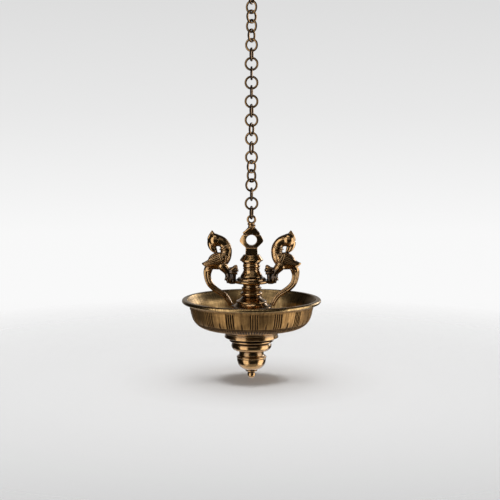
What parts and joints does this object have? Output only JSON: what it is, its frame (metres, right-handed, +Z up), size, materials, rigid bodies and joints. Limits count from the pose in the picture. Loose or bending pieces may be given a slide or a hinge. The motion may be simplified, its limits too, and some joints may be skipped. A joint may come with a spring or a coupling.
{
  "type": "hanging oil lamp",
  "caption": "Hanging brass oil lamp: an open bowl on a turned stem with a pair of parrots, hung by a ring chain from a cast eye.",
  "frame": {"origin": "middle of the clear hole of the hanging eye, where a ceiling hook carries the lamp", "axes": "+Z up along the hanging chain, +X to the right with the parrots left and right, the hole of the hanging eye along Y"},
  "size_m": [0.127, 0.127, 0.378],
  "materials": {
    "cast_brass": "antiqued cast brass, dark in the recesses",
    "chain_brass": "antiqued brass wire",
    "turned_brass": "polished turned brass, dark in the grooves",
    "bowl_brass": "satin brass, engraved outside",
    "rod_brass": "plain brass rod",
    "leather": "oiled leather"
  },
  "bodies": {
    "hanging_eye": {"hanging_eye": "cast_brass"},
    "link_01": {"link_01": "chain_brass"},
    "link_02": {"link_02": "chain_brass"},
    "link_03": {"link_03": "chain_brass"},
    "link_04": {"link_04": "chain_brass"},
    "link_05": {"link_05": "chain_brass"},
    "link_06": {"link_06": "chain_brass"},
    "link_07": {"link_07": "chain_brass"},
    "link_08": {"link_08": "chain_brass"},
    "link_09": {"link_09": "chain_brass"},
    "link_10": {"link_10": "chain_brass"},
    "link_11": {"link_11": "chain_brass"},
    "link_12": {"link_12": "chain_brass"},
    "link_13": {"link_13": "chain_brass"},
    "link_14": {"link_14": "chain_brass"},
    "link_15": {"link_15": "chain_brass"},
    "link_16": {"link_16": "chain_brass"},
    "link_17": {"link_17": "chain_brass"},
    "link_18": {"link_18": "chain_brass"},
    "link_19": {"link_19": "chain_brass"},
    "link_20": {"link_20": "chain_brass"},
    "link_21": {"link_21": "chain_brass"},
    "link_22": {"link_22": "chain_brass"},
    "link_23": {"link_23": "chain_brass"},
    "link_24": {"link_24": "chain_brass"},
    "lamp": {"suspension_eye": "cast_brass", "stem_cap": "turned_brass", "stem_baluster": "turned_brass", "stem_flange": "turned_brass", "stem_foot": "turned_brass", "tie_rod": "rod_brass", "sealing_washer": "leather", "bowl": "bowl_brass", "parrot_left": "cast_brass", "parrot_right": "cast_brass", "parrot_pins": "rod_brass", "base_collar": "turned_brass", "base_drum": "turned_brass", "base_cup": "turned_brass", "finial": "turned_brass"}
  },
  "joints": [
    {"name": "link_01_swing", "type": "hinge", "parent": "hanging_eye", "child": "link_01", "pos_m": [0, 0, -0.0219], "axis": [1, 0, 0], "range_deg": [-60, 60]},
    {"name": "link_02_swing", "type": "hinge", "parent": "link_01", "child": "link_02", "pos_m": [0, 0, -0.03015], "axis": [0.342, 0.9397, 0], "range_deg": [-75, 75]},
    {"name": "link_03_swing", "type": "hinge", "parent": "link_02", "child": "link_03", "pos_m": [0, 0, -0.0385], "axis": [-0.788, 0.6157, 0], "range_deg": [-75, 75]},
    {"name": "link_04_swing", "type": "hinge", "parent": "link_03", "child": "link_04", "pos_m": [0, 0, -0.04685], "axis": [-0.7071, -0.7071, 0], "range_deg": [-75, 75]},
    {"name": "link_05_swing", "type": "hinge", "parent": "link_04", "child": "link_05", "pos_m": [0, 0, -0.0552], "axis": [0.766, -0.6428, 0], "range_deg": [-75, 75]},
    {"name": "link_06_swing", "type": "hinge", "parent": "link_05", "child": "link_06", "pos_m": [0, 0, -0.06355], "axis": [0.5, 0.866, 0], "range_deg": [-75, 75]},
    {"name": "link_07_swing", "type": "hinge", "parent": "link_06", "child": "link_07", "pos_m": [0, 0, -0.0719], "axis": [-0.9063, 0.4226, 0], "range_deg": [-75, 75]},
    {"name": "link_08_swing", "type": "hinge", "parent": "link_07", "child": "link_08", "pos_m": [0, 0, -0.08025], "axis": [-0.1736, -0.9848, 0], "range_deg": [-75, 75]},
    {"name": "link_09_swing", "type": "hinge", "parent": "link_08", "child": "link_09", "pos_m": [0, 0, -0.0886], "axis": [1, 0, 0], "range_deg": [-75, 75]},
    {"name": "link_10_swing", "type": "hinge", "parent": "link_09", "child": "link_10", "pos_m": [0, 0, -0.09695], "axis": [0.0349, 0.9994, 0], "range_deg": [-75, 75]},
    {"name": "link_11_swing", "type": "hinge", "parent": "link_10", "child": "link_11", "pos_m": [0, 0, -0.1053], "axis": [-1, 0, 0], "range_deg": [-75, 75]},
    {"name": "link_12_swing", "type": "hinge", "parent": "link_11", "child": "link_12", "pos_m": [0, 0, -0.11365], "axis": [-0.0872, -0.9962, 0], "range_deg": [-75, 75]},
    {"name": "link_13_swing", "type": "hinge", "parent": "link_12", "child": "link_13", "pos_m": [0, 0, -0.122], "axis": [1, 0, 0], "range_deg": [-75, 75]},
    {"name": "link_14_swing", "type": "hinge", "parent": "link_13", "child": "link_14", "pos_m": [0, 0, -0.13035], "axis": [0.1736, 0.9848, 0], "range_deg": [-75, 75]},
    {"name": "link_15_swing", "type": "hinge", "parent": "link_14", "child": "link_15", "pos_m": [0, 0, -0.1387], "axis": [-0.9848, 0.1736, 0], "range_deg": [-75, 75]},
    {"name": "link_16_swing", "type": "hinge", "parent": "link_15", "child": "link_16", "pos_m": [0, 0, -0.14705], "axis": [-0.309, -0.9511, 0], "range_deg": [-75, 75]},
    {"name": "link_17_swing", "type": "hinge", "parent": "link_16", "child": "link_17", "pos_m": [0, 0, -0.1554], "axis": [0.9397, -0.342, 0], "range_deg": [-75, 75]},
    {"name": "link_18_swing", "type": "hinge", "parent": "link_17", "child": "link_18", "pos_m": [0, 0, -0.16375], "axis": [0.2419, 0.9703, 0], "range_deg": [-75, 75]},
    {"name": "link_19_swing", "type": "hinge", "parent": "link_18", "child": "link_19", "pos_m": [0, 0, -0.1721], "axis": [-0.9336, 0.3584, 0], "range_deg": [-75, 75]},
    {"name": "link_20_swing", "type": "hinge", "parent": "link_19", "child": "link_20", "pos_m": [0, 0, -0.18045], "axis": [-0.6428, -0.766, 0], "range_deg": [-75, 75]},
    {"name": "link_21_swing", "type": "hinge", "parent": "link_20", "child": "link_21", "pos_m": [0, 0, -0.1888], "axis": [0.6428, -0.766, 0], "range_deg": [-75, 75]},
    {"name": "link_22_swing", "type": "hinge", "parent": "link_21", "child": "link_22", "pos_m": [0, 0, -0.19715], "axis": [0.891, 0.454, 0], "range_deg": [-75, 75]},
    {"name": "link_23_swing", "type": "hinge", "parent": "link_22", "child": "link_23", "pos_m": [0, 0, -0.2055], "axis": [-0.0872, -0.9962, 0], "range_deg": [-75, 75]},
    {"name": "link_24_swing", "type": "hinge", "parent": "link_23", "child": "link_24", "pos_m": [0, 0, -0.21385], "axis": [-1, 0, 0], "range_deg": [-75, 75]},
    {"name": "lamp_swing", "type": "hinge", "parent": "link_24", "child": "lamp", "pos_m": [0, 0, -0.2222], "axis": [0.1736, 0.9848, 0], "range_deg": [-60, 60]}
  ]
}
